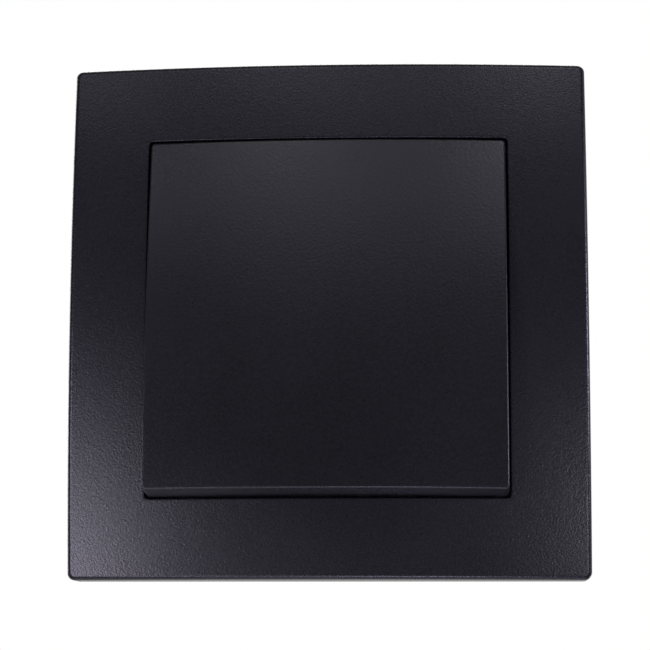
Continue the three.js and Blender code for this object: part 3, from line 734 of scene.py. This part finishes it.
# a bright white sheet lies behind the wall plane and
# lights the rims; in front of the part the studio is dark but for the lights
sheet = wt.nodes.new("ShaderNodeBackground")
sheet.inputs["Color"].default_value = (1, 1, 1, 1)
sheet.inputs["Strength"].default_value = 0.7
where = wt.nodes.new("ShaderNodeTexCoord")
split = wt.nodes.new("ShaderNodeSeparateXYZ")
side = wt.nodes.new("ShaderNodeMapRange")
side.inputs["From Min"].default_value = 0.0
side.inputs["From Max"].default_value = 0.12
both = wt.nodes.new("ShaderNodeMixShader")
wt.links.new(where.outputs["Generated"], split.inputs[0])
wt.links.new(split.outputs["Y"], side.inputs["Value"])
wt.links.new(side.outputs["Result"], both.inputs["Fac"])
wt.links.new(dim.outputs[0], both.inputs[1])
wt.links.new(sheet.outputs[0], both.inputs[2])
wt.links.new(path.outputs["Is Camera Ray"], mix.inputs["Fac"])
wt.links.new(both.outputs[0], mix.inputs[1])
wt.links.new(white.outputs[0], mix.inputs[2])
wt.links.new(mix.outputs[0], out.inputs["Surface"])
scene.view_settings.view_transform = "Standard"
scene.view_settings.look = "None"
scene.view_settings.exposure = 0.0
scene.view_settings.gamma = 1.0

# -------------------------------------------------------------------- floor
bm = bmesh.new()
bmesh.ops.create_grid(bm, x_segments=8, y_segments=8, size=0.6)
me = bpy.data.meshes.new("floor")
bm.to_mesh(me)
bm.free()
floor = bpy.data.objects.new("floor", me)
floor.location = (0, 0, -1.05)
scene.collection.objects.link(floor)
fm = Nodes("pale_floor")
fm.set(Base_Color=fm.ramp(fm.noise(6.0, 2.0), [(0.3, (0.80, 0.80, 0.80)), (0.7, (0.84, 0.84, 0.84))]), Roughness=0.8)
me.materials.append(fm.mat)


# ------------------------------------------------------------------- lights
def area(name, azimuth, elevation, distance, size, power, color=(1, 1, 1), target=(0, -0.008, 0)):
    """A square soft light; azimuth 0 is in front (-Y), 90 to the right (+X), 180 behind."""
    a, e = math.radians(azimuth), math.radians(elevation)
    d = Vector((math.sin(a) * math.cos(e), -math.cos(a) * math.cos(e), math.sin(e)))
    light = bpy.data.lights.new(name, "AREA")
    light.shape = "RECTANGLE"
    light.size, light.size_y = size if isinstance(size, tuple) else (size, size)
    light.energy = power
    light.color = color
    ob = bpy.data.objects.new(name, light)
    ob.location = Vector(target) + d * distance
    ob.rotation_mode = "QUATERNION"
    ob.rotation_quaternion = (-d).to_track_quat("-Z", "Y")
    scene.collection.objects.link(ob)
    return ob


LIGHTS = [
    # azimuth, elevation, distance, size, power, colour
    (-20, -34, 1.2, 0.22, 1.213, (0.880, 0.822, 1.000)),
    (0, 34, 1.2, 0.22, 0.131, (0.837, 0.793, 1.000)),
    (30, -10, 1.2, 0.22, 1.300, (0.867, 0.842, 1.000)),
    (-40, -2, 1.2, 0.22, 1.848, (0.749, 0.683, 1.000)),
    (-30, 34, 1.2, 0.22, 0.333, (0.842, 0.807, 1.000)),
    (20, 34, 1.2, 0.22, 0.325, (0.859, 0.814, 1.000)),
    (70, 7, 1.2, 0.22, 4.569, (0.713, 0.665, 1.000)),
    (-10, 43, 1.2, 0.22, 0.376, (0.963, 0.933, 1.000)),
    (5, -44, 1.2, 0.22, 2.201, (0.702, 0.666, 1.000)),
    (-30, -18, 1.2, 0.22, 1.637, (0.867, 0.773, 1.000)),
    (-30, -10, 1.2, 0.22, 1.021, (0.853, 0.877, 1.000)),
    (20, 43, 1.2, 0.22, 0.499, (0.905, 0.879, 1.000)),
    (-10, 34, 1.2, 0.22, 0.140, (0.788, 0.754, 1.000)),
    (10, -2, 1.2, 0.22, 0.064, (0.734, 0.646, 1.000)),
    # behind the wall plane, for the views of the insert
    (180, 42, 1.1, 0.8, 8.0, (1.0, 1.0, 1.0)),
    (232, 8, 1.1, 0.5, 4.0, (1.0, 0.99, 0.97)),
    (140, -20, 1.1, 0.5, 3.0, (0.97, 0.98, 1.0)),
]
for i, spec in enumerate(LIGHTS):
    area("light_%02d" % i, *spec)
